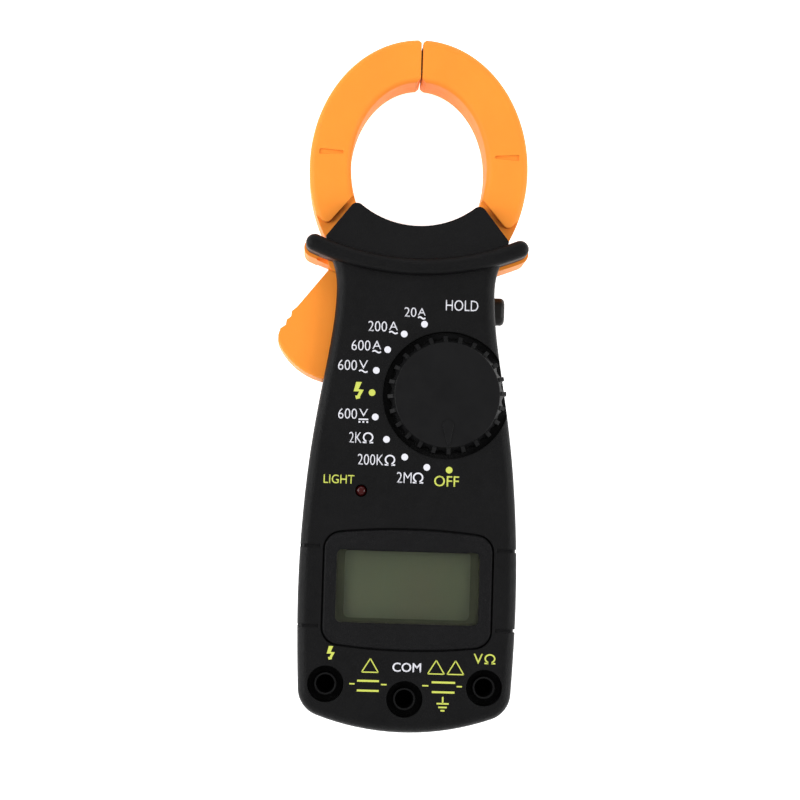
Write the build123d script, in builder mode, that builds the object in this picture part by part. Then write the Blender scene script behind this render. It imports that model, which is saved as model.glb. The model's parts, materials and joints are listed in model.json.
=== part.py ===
"""Clamp meter: hinged jaw, rotary range switch, display and battery bay.

Lies on its back: X is the width, +Y runs to the jaws, +Z faces the reader.
The origin is on the flat back, on the centreline, 59.2 mm from the lower end.
"""
import math
import os

from build123d import *

os.makedirs("parts", exist_ok=True)

# ------------------------------------------------------------------ dimensions
# case, measured through the thickness
Z_FRONT = 25.0
Z_PART = 13.0
WALL = 2.0
Z_ROOF = Z_FRONT - WALL
EDGE_FRONT = 2.3
EDGE_REAR = 2.5
Y_LOW = -59.2
BOTTOM_R = 63.6
CORNER_R = 7.0

# guard ridge and collar at the foot of the jaws
RIDGE_R = 65.4
RIDGE_Y = 56.4
RIDGE_HALF = 25.7
RIDGE_W = 4.3
RIDGE_TOP = 27.0
RIDGE_ROUND = 1.7
FOOT_W = 4.8
COLLAR_Z = 25.7
COLLAR_DROP = 2.4

# jaws
JAW_Y = 82.0
JAW_A, JAW_B = 27.6, 33.0
EYE_A, EYE_B = 17.1, 22.1
JAW_ROUND = 1.5
JAW_BOT, JAW_TOP = 5.5, 20.5
NECK_BOT, NECK_TOP = 6.7, 19.3
SLOT_BOT, SLOT_TOP = 6.4, 19.6
TIP_GAP = 0.2

# magnetic core inside the jaws
CORE_Y = 83.0
CORE_A, CORE_B = 22.2, 27.5
CORE_W = 5.5
CORE_BOT, CORE_TOP = 8.5, 17.5
BAR_Y = 55.2

# hinge of the moving jaw
PIVOT = (-19.0, 58.0)
PIVOT_R = 1.5
HUB_R = 3.1
SPLIT_DEG = 43.0
RUN_FIT = 0.05

# range switch
DIAL = (8.35, 24.5)
WELL_R = 15.9
WELL_Z = 22.6
FLOOR_Z = 20.8
CAP_R = 13.0
SKIRT_R = 14.2
KNOB_TIP_R = 14.75
KNOB_BASE = 22.9
KNOB_TOP = 27.5
TEETH = 24
POINTER_DEG = 273.0
HUB_HOLE_R = 5.0
CLICK_DEG = 18

# display
BEZEL_HALF = 20.8
BEZEL_LOW, BEZEL_HIGH = -37.3, -10.7
BEZEL_SAG = 1.5
SEAM = 0.45
PANE_HALF = 17.75
PANE_LOW, PANE_HIGH = -32.4, -14.4
POCKET_Z = 23.4

# board
PCB_BOT, PCB_TOP = 16.0, 17.6

# probe sockets
SOCKETS = {"left": (-19.6, -47.6), "centre": (0.0, -50.9), "right": (19.6, -47.6)}
BORE_R = 2.05
TUBE_R = 2.9
TUBE_BOT, TUBE_TOP = 5.9, 17.8

# hold button
HOLD_Y = 47.0
HOLD_LEN, HOLD_W = 7.0, 5.0
HOLD_TRAVEL = 0.8

# batteries
CELL_R, CELL_L = 5.25, 43.7
CELL_Y = (-29.1, -18.3)
CELL_Z = 7.5
BAY_LOW, BAY_HIGH = -34.6, -12.8
BAY_HALF = 24.4

CASE_SCREWS = [(-9.9, -51.5), (9.9, -51.5), (-21.0, -4.0), (21.0, -4.0), (17.5, 56.4), (0.0, 63.4)]
BOARD_SCREWS = [(-22.0, -38.6), (22.0, -38.6), (-14.0, 8.0), (15.0, 42.0)]
JAW_SCREWS = [(-25.0, 60.8), (25.0, 60.8), (-20.4, 48.0)]
LED = (-12.2, 0.2)


# --------------------------------------------------------------------- helpers
def save(part, name):
    part.label = name
    export_step(part, f"parts/{name}.step")


def centred_box(x0, x1, y0, y1, z0, z1, mode=Mode.ADD):
    with Locations(((x0 + x1) / 2, (y0 + y1) / 2, (z0 + z1) / 2)):
        Box(x1 - x0, y1 - y0, z1 - z0, mode=mode)


def rod(x, y, z0, z1, r, mode=Mode.ADD):
    with Locations((x, y, (z0 + z1) / 2)):
        Cylinder(r, z1 - z0, mode=mode)


def ridge_y(x):
    return RIDGE_Y + RIDGE_R - math.sqrt(RIDGE_R**2 - x**2)


def body_outline(inset=0.0):
    """Plan of the case; the inset one is the inside of its wall."""
    side = [(26.7, -42), (27.1, -24), (26.5, -6), (25.2, 9), (23.7, 20), (22.05, 30), (20.5, 40),
            (19.8, 48), (20.0, 54), (21.6, 58.8)]
    centre_y = Y_LOW + BOTTOM_R
    low_x = 26.1 - inset
    low_y = centre_y - math.sqrt((BOTTOM_R - inset) ** 2 - low_x**2)
    right = [(low_x, low_y)] + [(x - inset, y) for x, y in side[:-1]]
    right.append((side[-1][0] - inset, side[-1][1] - inset))
    with BuildSketch() as s:
        with BuildLine():
            ThreePointArc((-low_x, low_y), (0, Y_LOW + inset), right[0])
            Spline(*right)
            ThreePointArc(right[-1], (0, 58.1 - inset), (-right[-1][0], right[-1][1]))
            Spline(*[(-x, y) for x, y in reversed(right)])
        make_face()
        fillet(s.vertices().group_by(Axis.Y)[0], CORNER_R - inset)
    return s.sketch


def ridge_outline(half, width):
    with BuildLine() as path:
        ThreePointArc((-half, ridge_y(half)), (0, RIDGE_Y), (half, ridge_y(half)))
    with BuildSketch() as s:
        SlotArc(path.edge(), width)
    return s.sketch


def ridge_end(side, width):
    xs = [19.0, 22.5, 25.9]
    pts = [(side * x, ridge_y(x) - 0.6) for x in xs]
    with BuildLine() as path:
        ThreePointArc(*pts)
    with BuildSketch() as s:
        SlotArc(path.edge(), width)
    return s.sketch


def collar_outline():
    with BuildSketch() as s:
        with BuildLine():
            ThreePointArc((-15.6, 73.1), (0, 66.8), (15.6, 73.1))
            Polyline((15.6, 73.1), (22.9, 63.5), (21.6, 58.0))
            Line((21.6, 58.0), (-21.6, 58.0))
            Polyline((-21.6, 58.0), (-22.9, 63.5), (-15.6, 73.1))
        make_face()
        fillet(s.vertices().group_by(Axis.Y)[-1], 1.8)
    return s.sketch


def ring(cy, a, b, width):
    with BuildSketch() as s:
        with Locations((0, cy)):
            Ellipse(a + width / 2, b + width / 2)
            Ellipse(a - width / 2, b - width / 2, mode=Mode.SUBTRACT)
    return s.sketch


def moving_side(gap):
    """Everything that swings: left of the tip line and above the split line."""
    with BuildSketch() as s:
        with Locations(Location((*PIVOT, 0), (0, 0, SPLIT_DEG))):
            with Locations((0, gap)):
                Rectangle(200, 100, align=(Align.CENTER, Align.MIN))
        with Locations((-gap, 0)):
            Rectangle(200, 400, align=(Align.MAX, Align.CENTER), mode=Mode.INTERSECT)
    return s.sketch


def jaw_ring():
    with BuildSketch() as s:
        with Locations((0, JAW_Y)):
            Ellipse(JAW_A, JAW_B)
            Ellipse(EYE_A, EYE_B, mode=Mode.SUBTRACT)
    return s.sketch


def step_region(side):
    """Foot of a jaw, sunk below its face so that it slides under the collar."""
    pts = [(15.4, 75.7), (22.8, 66.9), (27.6, 71.7), (34.0, 71.7), (34.0, 50.0), (8.0, 50.0),
           (8.0, 75.7)]
    with BuildSketch() as s:
        with BuildLine():
            Polyline(*[(side * x, y) for x, y in pts], close=True)
        make_face()
        corner = s.vertices().sort_by_distance((side * 22.8, 66.9))[0]
        fillet(corner, 1.5)
    return s.sketch


body = body_outline()
body_inside = body_outline(WALL)
collar = collar_outline()
core_ring = ring(CORE_Y, CORE_A, CORE_B, CORE_W)
core_room = ring(CORE_Y, CORE_A, CORE_B, CORE_W + 0.5)

with BuildSketch() as wall_sk:
    add(collar)
    with Locations((0, JAW_Y)):
        Ellipse(EYE_A - 0.5, EYE_B - 0.5, mode=Mode.INTERSECT)
    with Locations((0, 91.3)):
        Circle(27.9, mode=Mode.INTERSECT)
    with Locations(CASE_SCREWS[5]):
        Circle(2.7)
eye_wall = wall_sk.sketch

with BuildSketch() as bezel_sk:
    with BuildLine():
        ThreePointArc((-BEZEL_HALF, BEZEL_LOW), (0, BEZEL_LOW - BEZEL_SAG), (BEZEL_HALF, BEZEL_LOW))
        Line((BEZEL_HALF, BEZEL_LOW), (BEZEL_HALF, BEZEL_HIGH))
        ThreePointArc((BEZEL_HALF, BEZEL_HIGH), (0, BEZEL_HIGH + BEZEL_SAG), (-BEZEL_HALF, BEZEL_HIGH))
        Line((-BEZEL_HALF, BEZEL_HIGH), (-BEZEL_HALF, BEZEL_LOW))
    make_face()
    fillet(bezel_sk.vertices(), 4.2)
bezel_outline = bezel_sk.sketch


def cut_grooves(front):
    """Shallow grooves down both sides; on the front they start at the bezel."""
    z0, z1 = (Z_PART - 1, Z_FRONT + 1) if front else (EDGE_REAR + 0.5, Z_PART + 1)
    for y in (BAY_LOW + 1.2, BAY_HIGH - 0.9):
        for side in (-1, 1):
            x0, x1 = sorted((side * 26.45, side * 30))
            centred_box(x0, x1, y - 0.4, y + 0.4, z0, z1, mode=Mode.SUBTRACT)
            if front:
                x0, x1 = sorted((side * (BEZEL_HALF + 1), side * 30))
                centred_box(x0, x1, y - 0.4, y + 0.4, Z_FRONT - 0.45, Z_FRONT + 1, mode=Mode.SUBTRACT)
                with Locations(Location((side * 27.0, y, Z_FRONT), (0, side * 45, 0))):
                    Box(2.2, 0.8, 2.2, mode=Mode.SUBTRACT)


def hold_hole(x0, x1, grow):
    with BuildSketch(Plane.YZ.offset(x0)) as slot:
        with Locations((HOLD_Y, Z_PART)):
            SlotOverall(HOLD_LEN + 2 * grow, HOLD_W + 2 * grow)
    extrude(slot.sketch, amount=x1 - x0, mode=Mode.SUBTRACT)


# ------------------------------------------------------------------ front case
with BuildPart() as guard_ridge:
    with BuildSketch(Plane.XY.offset(SLOT_TOP)):
        add(ridge_outline(RIDGE_HALF, RIDGE_W))
    extrude(amount=RIDGE_TOP - SLOT_TOP)
    fillet(guard_ridge.faces().sort_by(Axis.Z)[-1].edges(), RIDGE_ROUND)

with BuildPart() as front_case:
    with BuildSketch(Plane.XY.offset(Z_PART)):
        add(body)
    extrude(amount=Z_FRONT - Z_PART)
    top_rim = front_case.faces().sort_by(Axis.Z)[-1].edges()
    fillet([e for e in top_rim if e.center().Y < 57], EDGE_FRONT)
    # collar, sloping down towards the jaws
    with BuildSketch(Plane.XY.offset(SLOT_TOP)):
        add(collar)
    extrude(amount=COLLAR_Z + 1 - SLOT_TOP)
    with BuildSketch(Plane.YZ.offset(-40)):
        with BuildLine():
            Polyline((58, COLLAR_Z), (74, COLLAR_Z - COLLAR_DROP), (74, 30), (58, 30), close=True)
        make_face()
    extrude(amount=80, mode=Mode.SUBTRACT)
    add(guard_ridge.part)
    # hollow
    with BuildSketch(Plane.XY.offset(Z_PART)):
        add(body_inside)
    extrude(amount=Z_ROOF - Z_PART, mode=Mode.SUBTRACT)
    centred_box(-9.9, 9.9, 46, 61.2, Z_PART, 20.6, mode=Mode.SUBTRACT)
    # room for the jaw feet and the trigger
    centred_box(-40, -9.9, 48, 80, Z_PART, SLOT_TOP, mode=Mode.SUBTRACT)
    centred_box(-40, -17, 27.3, 49, Z_PART, SLOT_TOP, mode=Mode.SUBTRACT)
    centred_box(9.9, 18.3, 53, 80, Z_PART, SLOT_TOP, mode=Mode.SUBTRACT)
    centred_box(18, 40, 56.2, 80, Z_PART, SLOT_TOP, mode=Mode.SUBTRACT)
    with BuildSketch(Plane.XY.offset(Z_PART)):
        add(eye_wall)
    extrude(amount=SLOT_TOP + 1 - Z_PART)
    # range switch well with its click ring underneath
    with BuildSketch(Plane.XY.offset(FLOOR_Z)):
        with Locations(DIAL):
            Circle(WELL_R + 1.6)
        add(body, mode=Mode.INTERSECT)
    extrude(amount=Z_ROOF - FLOOR_Z)
    rod(*DIAL, WELL_Z, 40, WELL_R, mode=Mode.SUBTRACT)
    with BuildSketch(Plane.XY.offset(18.6)):
        with Locations(DIAL):
            Circle(14.2)
            Circle(12.15, mode=Mode.SUBTRACT)
            with PolarLocations(12.7, 360 // CLICK_DEG):
                Circle(1.2, mode=Mode.SUBTRACT)
    extrude(amount=FLOOR_Z - 18.6)
    rod(*DIAL, FLOOR_Z - 1, WELL_Z + 1, HUB_HOLE_R, mode=Mode.SUBTRACT)
    # seat for the bezel and window under it
    centred_box(-23, 23, -40.5, -8, 21.7, Z_ROOF)
    with BuildSketch(Plane.XY.offset(POCKET_Z)):
        add(bezel_outline)
        offset(amount=SEAM)
    extrude(amount=5, mode=Mode.SUBTRACT)
    centred_box(-16.8, 16.8, PANE_LOW + 0.6, PANE_HIGH - 0.2, 20, 24, mode=Mode.SUBTRACT)
    # probe wells
    for x, y in SOCKETS.values():
        rod(x, y, TUBE_TOP, Z_ROOF + 0.5, 5.6)
        with BuildSketch(Plane.XY.offset(19.2)):
            with Locations((x, y)):
                Circle(4.5)
                Circle(2.75, mode=Mode.SUBTRACT)
        extrude(amount=10, mode=Mode.SUBTRACT)
        rod(x, y, 23.4, 30, 4.5, mode=Mode.SUBTRACT)
        rod(x, y, TUBE_TOP - 1, 30, BORE_R + 0.25, mode=Mode.SUBTRACT)
    # screw posts
    for x, y in CASE_SCREWS[:4]:
        rod(x, y, Z_PART, Z_ROOF + 0.5, 2.8)
    rod(*CASE_SCREWS[4], SLOT_TOP, Z_ROOF + 0.5, 2.8)
    for x, y in CASE_SCREWS:
        rod(x, y, Z_PART - 1, 21.5, 1.0, mode=Mode.SUBTRACT)
    for x, y in BOARD_SCREWS:
        rod(x, y, PCB_TOP, Z_ROOF + 0.5, 2.0)
        rod(x, y, PCB_TOP - 1, 22, 0.75, mode=Mode.SUBTRACT)
    rod(*PIVOT, SLOT_TOP - 1, 24.2, PIVOT_R, mode=Mode.SUBTRACT)
    rod(*LED, 20, 30, 1.55, mode=Mode.SUBTRACT)
    hold_hole(15, 30, 0.08)
    cut_grooves(front=True)
save(front_case.part, "front_case")

# ------------------------------------------------------------------- rear case
with BuildPart() as rear_case:
    with BuildSketch():
        add(body)
    extrude(amount=Z_PART)
    low_rim = rear_case.faces().sort_by(Axis.Z)[0].edges()
    fillet([e for e in low_rim if e.center().Y < 57], EDGE_REAR)
    with BuildSketch():
        add(collar)
    extrude(amount=SLOT_BOT)
    with BuildSketch(Plane.YZ.offset(-40)):
        with BuildLine():
            Polyline((58, 0), (74, COLLAR_DROP), (74, -3), (58, -3), close=True)
        make_face()
    extrude(amount=80, mode=Mode.SUBTRACT)
    with BuildSketch(Plane.XY.offset(1.2)):
        add(ridge_outline(RIDGE_HALF, RIDGE_W))
    extrude(amount=SLOT_BOT - 1.2)
    with BuildSketch(Plane.XY.offset(WALL)):
        add(body_inside)
    extrude(amount=Z_PART - WALL, mode=Mode.SUBTRACT)
    centred_box(-9.9, 9.9, 46, 61.2, 5.4, Z_PART, mode=Mode.SUBTRACT)
    centred_box(-40, -9.9, 48, 80, SLOT_BOT, Z_PART, mode=Mode.SUBTRACT)
    centred_box(-40, -17, 27.3, 49, SLOT_BOT, Z_PART, mode=Mode.SUBTRACT)
    centred_box(9.9, 18.3, 53, 80, SLOT_BOT, Z_PART, mode=Mode.SUBTRACT)
    centred_box(18, 40, 56.2, 80, SLOT_BOT, Z_PART, mode=Mode.SUBTRACT)
    with BuildSketch(Plane.XY.offset(SLOT_BOT - 1)):
        add(eye_wall)
    extrude(amount=Z_PART - SLOT_BOT + 1)
    # battery bay: a box let in from the back
    centred_box(-BAY_HALF - 1, BAY_HALF + 1, BAY_LOW - 1.2, BAY_HIGH + 1.2, WALL - 0.5, Z_PART)
    centred_box(-BAY_HALF - 0.1, BAY_HALF + 0.1, BAY_LOW - 1.2, BAY_HIGH + 1.2, Z_PART - 0.1, 14.4)
    centred_box(-BAY_HALF, BAY_HALF, BAY_LOW, BAY_HIGH, 1.9, Z_PART - 0.1, mode=Mode.SUBTRACT)
    centred_box(-BAY_HALF + 1, BAY_HALF - 1, BAY_LOW, BAY_HIGH, -1, 3, mode=Mode.SUBTRACT)
    rod(0, -9.2, 1, 8, 2.6)
    centred_box(-4.15, 4.15, BAY_HIGH - 1, -6.2, -1, 1.8, mode=Mode.SUBTRACT)
    centred_box(-BAY_HALF + 0.2, BAY_HALF - 0.2, BAY_LOW - 0.7, BAY_HIGH + 0.7, -1, 1.0, mode=Mode.SUBTRACT)
    rod(0, -9.2, 0, 7, 0.9, mode=Mode.SUBTRACT)
    # posts under the probe tubes and cradles under the core
    for x, y in SOCKETS.values():
        rod(x, y, 1, TUBE_BOT, 4.2)
    for x in (-10.7, 10.7):
        centred_box(x - 0.7, x + 0.7, 52.4, 58, 1, CORE_BOT)
    # stop for the trigger spring
    centred_box(-9.4, -8.0, 36, 44, 1, 15.5)
    for x, y in CASE_SCREWS[:4]:
        rod(x, y, 1, Z_PART, 2.8)
    rod(*CASE_SCREWS[4], 1, SLOT_BOT, 2.8)
    for x, y in CASE_SCREWS:
        rod(x, y, -1, Z_PART + 1, 1.25, mode=Mode.SUBTRACT)
        rod(x, y, -1, 3.2, 2.3, mode=Mode.SUBTRACT)
    rod(*PIVOT, 3.0, SLOT_BOT + 1, PIVOT_R, mode=Mode.SUBTRACT)
    hold_hole(15, 30, 0.08)
    cut_grooves(front=False)
    # shallow panel for the blank label
    with BuildSketch(Plane.XY.offset(-1)):
        with Locations((0, 21)):
            RectangleRounded(30.3, 22.3, 2.1)
    extrude(amount=1.3, mode=Mode.SUBTRACT)
save(rear_case.part, "rear_case")

with BuildPart() as rear_label:
    with BuildSketch():
        with Locations((0, 21)):
            RectangleRounded(30, 22, 2)
    extrude(amount=0.3)
save(rear_label.part, "rear_label")

# --------------------------------------------------------------------- display
with BuildPart() as display_bezel:
    with BuildSketch(Plane.XY.offset(POCKET_Z)):
        add(bezel_outline)
    extrude(amount=Z_FRONT + 0.15 - POCKET_Z)
    fillet(display_bezel.faces().sort_by(Axis.Z)[-1].edges(), 0.4)
    with BuildSketch(Plane.XY.offset(POCKET_Z)):
        with Locations((0, (PANE_LOW + PANE_HIGH) / 2)):
            RectangleRounded(2 * PANE_HALF, PANE_HIGH - PANE_LOW, 1.4)
    extrude(amount=5, mode=Mode.SUBTRACT)
    centred_box(-18.7, 18.7, PANE_LOW - 0.9, PANE_HIGH + 0.9, 23, POCKET_Z + 0.7, mode=Mode.SUBTRACT)
save(display_bezel.part, "display_bezel")

with BuildPart() as display_lens:
    centred_box(-18.65, 18.65, PANE_LOW - 0.85, PANE_HIGH + 0.85, POCKET_Z, POCKET_Z + 0.7)
save(display_lens.part, "display_lens")

with BuildPart() as lcd_panel:
    centred_box(-18.3, 18.3, -34.2, -12.4, 19.6, 21.7)
save(lcd_panel.part, "lcd_panel")

with BuildPart() as lcd_frame:
    centred_box(-19.7, 19.7, -35.6, -11.0, PCB_TOP, 21.6)
    centred_box(-18.4, 18.4, -34.3, -12.3, 19.6, 22, mode=Mode.SUBTRACT)
    centred_box(-17.4, 17.4, -33.3, -13.3, PCB_TOP - 1, 20, mode=Mode.SUBTRACT)
save(lcd_frame.part, "lcd_frame")

with BuildPart() as zebra_strips:
    for y in (-32.2, -14.4):
        centred_box(-17.2, 17.2, y - 1.0, y + 1.0, PCB_TOP, 19.6)
save(zebra_strips.part, "zebra_strips")

# ----------------------------------------------------------------------- board
with BuildPart() as main_board:
    with BuildSketch(Plane.XY.offset(PCB_BOT)):
        with BuildLine():
            Polyline((-24.3, -41.2), (24.3, -41.2), (24.3, -8.2), (18.0, -8.2), (18.0, 30),
                     (17.3, 45.4), (-7.3, 45.4), (-7.3, 25), (-18.0, 25), (-18.0, -8.2), (-24.3, -8.2),
                     close=True)
        make_face()
        with Locations(DIAL):
            Circle(3.2, mode=Mode.SUBTRACT)
        with Locations(*BOARD_SCREWS):
            Circle(0.95, mode=Mode.SUBTRACT)
    extrude(amount=PCB_TOP - PCB_BOT)
save(main_board.part, "main_board")

with BuildPart() as board_components:
    centred_box(-12, 0, 2, 14, PCB_BOT - 1.5, PCB_BOT)
    centred_box(8, 17, -6, 0, PCB_BOT - 1.8, PCB_BOT)
    centred_box(-17, -13, -5, 4, PCB_BOT - 2.6, PCB_BOT)
    centred_box(-2, 5, 31, 38, PCB_BOT - 2.2, PCB_BOT)
    for k in range(5):
        centred_box(-15 + 2.6 * k, -13.4 + 2.6 * k, 17, 20.2, PCB_BOT - 0.9, PCB_BOT)
    rod(13, 20, PCB_BOT - 5.5, PCB_BOT, 3.1)
    rod(-2, -5.0, PCB_BOT - 7.5, PCB_BOT, 2.6)
save(board_components.part, "board_components")

with BuildPart() as board_screws:
    for x, y in BOARD_SCREWS:
        rod(x, y, PCB_BOT - 1.3, PCB_BOT, 1.5)
        rod(x, y, PCB_BOT - 0.2, 21.4, 0.75)
        centred_box(x - 1.1, x + 1.1, y - 0.2, y + 0.2, PCB_BOT - 1.4, PCB_BOT - 0.8, mode=Mode.SUBTRACT)
        centred_box(x - 0.2, x + 0.2, y - 1.1, y + 1.1, PCB_BOT - 1.4, PCB_BOT - 0.8, mode=Mode.SUBTRACT)
save(board_screws.part, "board_screws")

with BuildPart() as indicator_led:
    rod(*LED, PCB_TOP + 3.2, Z_FRONT - 0.3, 1.5)
    fillet(indicator_led.faces().sort_by(Axis.Z)[-1].edges(), 1.2)
    rod(*LED, PCB_TOP + 2.2, PCB_TOP + 3.3, 1.95)
    for dx in (-0.9, 0.9):
        centred_box(LED[0] + dx - 0.25, LED[0] + dx + 0.25, LED[1] - 0.25, LED[1] + 0.25, PCB_TOP,
                    PCB_TOP + 2.5)
save(indicator_led.part, "indicator_led")

# --------------------------------------------------------------- probe sockets
for label, (x, y) in SOCKETS.items():
    with BuildPart() as socket:
        rod(x, y, TUBE_BOT, TUBE_TOP, TUBE_R)
        rod(x, y, TUBE_BOT, TUBE_BOT + 1.2, 3.9)
        reach = -40.2
        centred_box(x - 1.5, x + 1.5, y + 2, reach, PCB_BOT - 1.0, PCB_BOT)
        rod(x, y, TUBE_BOT + 0.6, TUBE_TOP + 1, BORE_R, mode=Mode.SUBTRACT)
    save(socket.part, f"input_socket_{label}")

# ------------------------------------------------------------------- batteries
with BuildPart() as battery_cells:
    for k, y in enumerate(CELL_Y):
        way = 1 if k == 0 else -1
        with Locations(Location((-0.4 * way, y, CELL_Z), (0, 90, 0))):
            Cylinder(CELL_R, CELL_L)
        with Locations(Location((way * (CELL_L / 2 - 0.1), y, CELL_Z), (0, 90, 0))):
            Cylinder(1.9, 1.0)
save(battery_cells.part, "battery_cells")

with BuildPart() as battery_plates:
    for k, y in enumerate(CELL_Y):
        way = 1 if k == 0 else -1
        x0, x1 = sorted((way * (BAY_HALF - 0.4), way * BAY_HALF))
        centred_box(x0, x1, y - 4.4, y + 4.4, 3.2, 11.8)
        x0, x1 = sorted((way * (CELL_L / 2 + 0.4), way * BAY_HALF))
        with Locations(Location(((x0 + x1) / 2, y, CELL_Z), (0, 90, 0))):
            Cylinder(2.2, x1 - x0)
save(battery_plates.part, "battery_plates")


def coil(start, towards, length, radius, wire, turns):
    """Compression spring from a start point along a direction, added to the open part."""
    with BuildLine() as path:
        Helix(pitch=length / turns, height=length, radius=radius, center=start, direction=towards)
    with BuildSketch(Plane(origin=path.line @ 0, z_dir=path.line % 0)) as section:
        Circle(wire / 2)
    sweep(section.sketch, path=path.line, is_frenet=True)


with BuildPart() as battery_springs:
    for k, y in enumerate(CELL_Y):
        way = -1 if k == 0 else 1
        room = BAY_HALF - 0.4 - (CELL_L / 2 + 0.4)
        coil((way * (BAY_HALF - 0.65), y, CELL_Z), (-way, 0, 0), room - 0.5, 3.0, 0.5, 2.5)
        x0, x1 = sorted((way * (BAY_HALF - 0.4), way * BAY_HALF))
        centred_box(x0, x1, y - 4.4, y + 4.4, 3.2, 11.8)
save(battery_springs.part, "battery_springs")

with BuildPart() as battery_cover:
    centred_box(-BAY_HALF + 0.3, BAY_HALF - 0.3, BAY_LOW - 0.6, BAY_HIGH + 0.6, 0, 1.0)
    centred_box(-BAY_HALF + 1.2, BAY_HALF - 1.2, BAY_LOW + 0.2, BAY_HIGH - 0.2, 1.0, 1.9)
    centred_box(-4.0, 4.0, BAY_HIGH - 0.5, -6.35, 0, 1.0)
    rod(0, -9.2, -1, 3, 1.1, mode=Mode.SUBTRACT)
    with Locations(*[(0, BAY_LOW + 4 + 2.2 * k, 0) for k in range(5)]):
        Box(16 - 0.1, 0.8, 0.6, mode=Mode.SUBTRACT)
save(battery_cover.part, "battery_cover")

with BuildPart() as battery_cover_screw:
    rod(0, -9.2, 0.3, 1.0, 1.09)
    rod(0, -9.2, 0.9, 6.5, 0.9)
    centred_box(-0.9, 0.9, -9.4, -9.0, 0, 0.7, mode=Mode.SUBTRACT)
save(battery_cover_screw.part, "battery_cover_screw")

with BuildPart() as case_screws:
    for x, y in CASE_SCREWS:
        rod(x, y, 1.2, 3.2, 2.1)
        rod(x, y, 3.0, 20.5, 1.0)
        centred_box(x - 1.5, x + 1.5, y - 0.3, y + 0.3, 1.0, 2.0, mode=Mode.SUBTRACT)
        centred_box(x - 0.3, x + 0.3, y - 1.5, y + 1.5, 1.0, 2.0, mode=Mode.SUBTRACT)
save(case_screws.part, "case_screws")

# ---------------------------------------------------------------- range switch
with BuildPart() as range_dial:
    # plain cap over a sloping skirt
    with BuildSketch(Plane(origin=(*DIAL, 0), x_dir=(1, 0, 0), z_dir=(0, -1, 0))):
        with BuildLine():
            Polyline((0, KNOB_BASE), (SKIRT_R, KNOB_BASE), (SKIRT_R, 24.6), (CAP_R + 0.15, 27.1),
                     (CAP_R + 0.15, 27.3), (CAP_R, KNOB_TOP), (0, KNOB_TOP), close=True)
        make_face()
    revolve(axis=Axis((*DIAL, 0), (0, 0, 1)))
    # shallow flutes
    with BuildSketch(Plane.XY.offset(KNOB_BASE)):
        with Locations(DIAL):
            with PolarLocations(SKIRT_R + 1.0, TEETH, start_angle=POINTER_DEG + 180 / TEETH):
                Circle(1.5)
    extrude(amount=6, mode=Mode.SUBTRACT)
    # grip teeth, sloping off towards their tips
    with BuildSketch(Plane.XY.offset(KNOB_BASE)):
        with Locations(DIAL):
            with PolarLocations((KNOB_TIP_R + 12.4) / 2, TEETH, start_angle=POINTER_DEG):
                Rectangle(KNOB_TIP_R - 12.4, 1.0)
    extrude(amount=KNOB_TOP - 0.4 - KNOB_BASE)
    with BuildSketch(Plane(origin=(*DIAL, 0), x_dir=(1, 0, 0), z_dir=(0, -1, 0))):
        with BuildLine():
            Polyline((13.3, 27.3), (15.1, 25.9), (15.1, 28), (13.3, 28), close=True)
        make_face()
    revolve(axis=Axis((*DIAL, 0), (0, 0, 1)), mode=Mode.SUBTRACT)
    # raised pointer
    with BuildSketch(Plane.XY.offset(KNOB_TOP - 0.2)):
        with Locations(Location((*DIAL, 0), (0, 0, POINTER_DEG))):
            Polygon((12.4, 0.3), (7.6, 1.35), (7.6, -1.35), (12.4, -0.3), align=None)
            with Locations((7.6, 0)):
                Circle(1.35)
    extrude(amount=0.5)
    rod(*DIAL, 20.6, KNOB_BASE + 0.2, HUB_HOLE_R - RUN_FIT)
    rod(*DIAL, 18.8, 20.7, 3.0)
    rod(*DIAL, 17, 22, 0.8, mode=Mode.SUBTRACT)
save(range_dial.part, "range_dial")

with BuildPart() as dial_rotor:
    rod(*DIAL, 18.5, 20.6, 11.6)
    rod(*DIAL, 18, 21, 3.0, mode=Mode.SUBTRACT)
    for way in (-1, 1):
        with Locations(Location((DIAL[0] + way * 9.8, DIAL[1], 19.5), (0, 90, 0))):
            Cylinder(0.85, 5, mode=Mode.SUBTRACT)
save(dial_rotor.part, "dial_rotor")

with BuildPart() as detent_balls:
    for way in (-1, 1):
        with Locations((DIAL[0] + way * 11.2, DIAL[1], 19.5)):
            Sphere(0.8)
save(detent_balls.part, "detent_balls")

with BuildPart() as detent_springs:
    for way in (-1, 1):
        coil((DIAL[0] + way * 7.5, DIAL[1], 19.5), (way, 0, 0), 2.8, 0.6, 0.2, 5)
save(detent_springs.part, "detent_springs")

with BuildPart() as dial_wipers:
    for k, r in enumerate((5.4, 7.4, 9.4)):
        with BuildSketch(Plane.XY.offset(18.2)):
            with Locations(DIAL):
                Circle(r + 0.5)
                Circle(r - 0.5, mode=Mode.SUBTRACT)
                with Locations(Location((0, 0, 0), (0, 0, 120 * k))):
                    Rectangle(40, 20, align=(Align.CENTER, Align.MIN), mode=Mode.INTERSECT)
        extrude(amount=0.3)
        a = math.radians(120 * k + 90)
        with Locations((DIAL[0] + r * math.cos(a), DIAL[1] + r * math.sin(a), 18.0)):
            Cylinder(0.45, 0.6)
save(dial_wipers.part, "dial_wipers")

with BuildPart() as dial_screw:
    rod(*DIAL, 17.7, 18.8, 2.4)
    rod(*DIAL, 18.6, 21.8, 0.8)
    centred_box(DIAL[0] - 1.6, DIAL[0] + 1.6, DIAL[1] - 0.3, DIAL[1] + 0.3, 17, 18.2, mode=Mode.SUBTRACT)
save(dial_screw.part, "dial_screw")

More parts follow.
